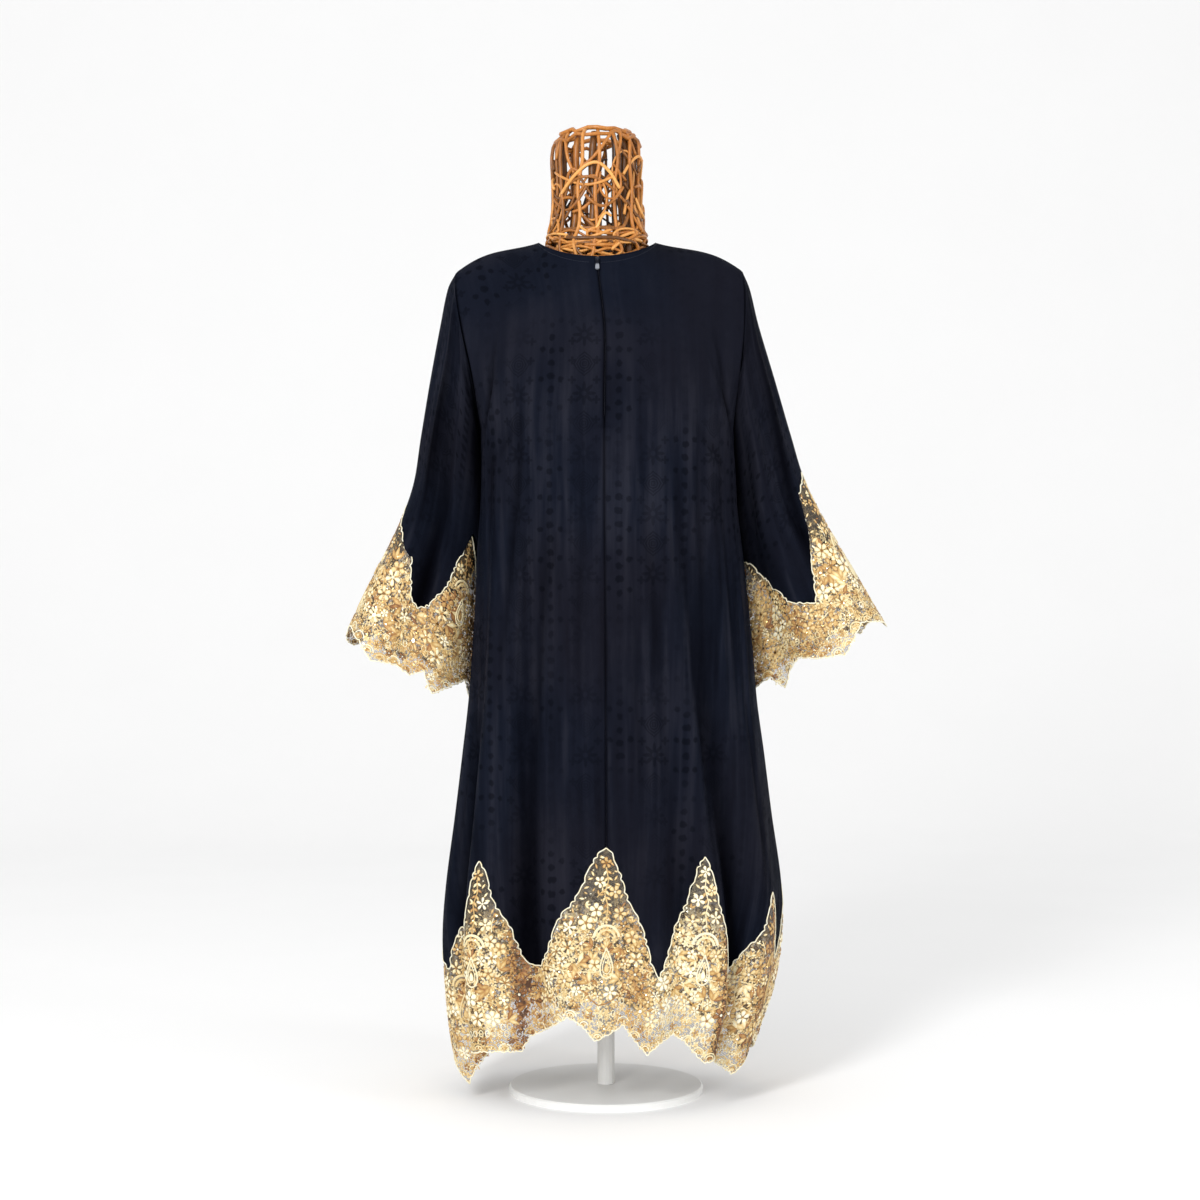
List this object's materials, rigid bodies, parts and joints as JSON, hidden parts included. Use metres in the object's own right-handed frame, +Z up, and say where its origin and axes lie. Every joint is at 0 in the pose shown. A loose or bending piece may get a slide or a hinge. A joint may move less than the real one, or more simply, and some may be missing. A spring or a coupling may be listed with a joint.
{
  "type": "sequin lace tunic on a limbless rattan dress form",
  "caption": "Long dark jacquard tunic with bell sleeves and zigzag gold sequin lace at hem and cuffs, standing on a rattan dress form with a pole and disc base.",
  "frame": {"origin": "centre of the underside of the stand's round base, on the floor", "axes": "+Z up along the pole, -Y the garment's front, +X the wearer's left"},
  "size_m": [0.7869, 0.3274, 1.388],
  "materials": {
    "navy_jacquard": "tone-on-tone jacquard, soft sheen",
    "gold_lace": "embroidered net with gold thread and sequins",
    "zip_tape": "plain woven tape",
    "zip_metal": "bright steel",
    "rattan": "varnished cane",
    "stand_paint": "satin white paint"
  },
  "bodies": {
    "tunic": {"front_right": "navy_jacquard", "front_left": "navy_jacquard", "back": "navy_jacquard", "sleeve_right": "navy_jacquard", "sleeve_left": "navy_jacquard", "hem_lace_front": "gold_lace", "hem_lace_back": "gold_lace", "cuff_lace_right": "gold_lace", "cuff_lace_left": "gold_lace", "zip_tape": "zip_tape", "form_torso": "rattan", "form_neck": "rattan", "stand_pole": "stand_paint", "stand_base": "stand_paint", "zip_slider": "zip_metal"},
    "pull_tab": {"zip_pull_tab": "zip_metal"}
  },
  "joints": [
    {"name": "pull_tab_swing", "type": "hinge", "parent": "tunic", "child": "pull_tab", "pos_m": [-0.01249, -0.09647, 1.19021], "axis": [-1, 0, 0], "range_deg": [0, 150]}
  ]
}
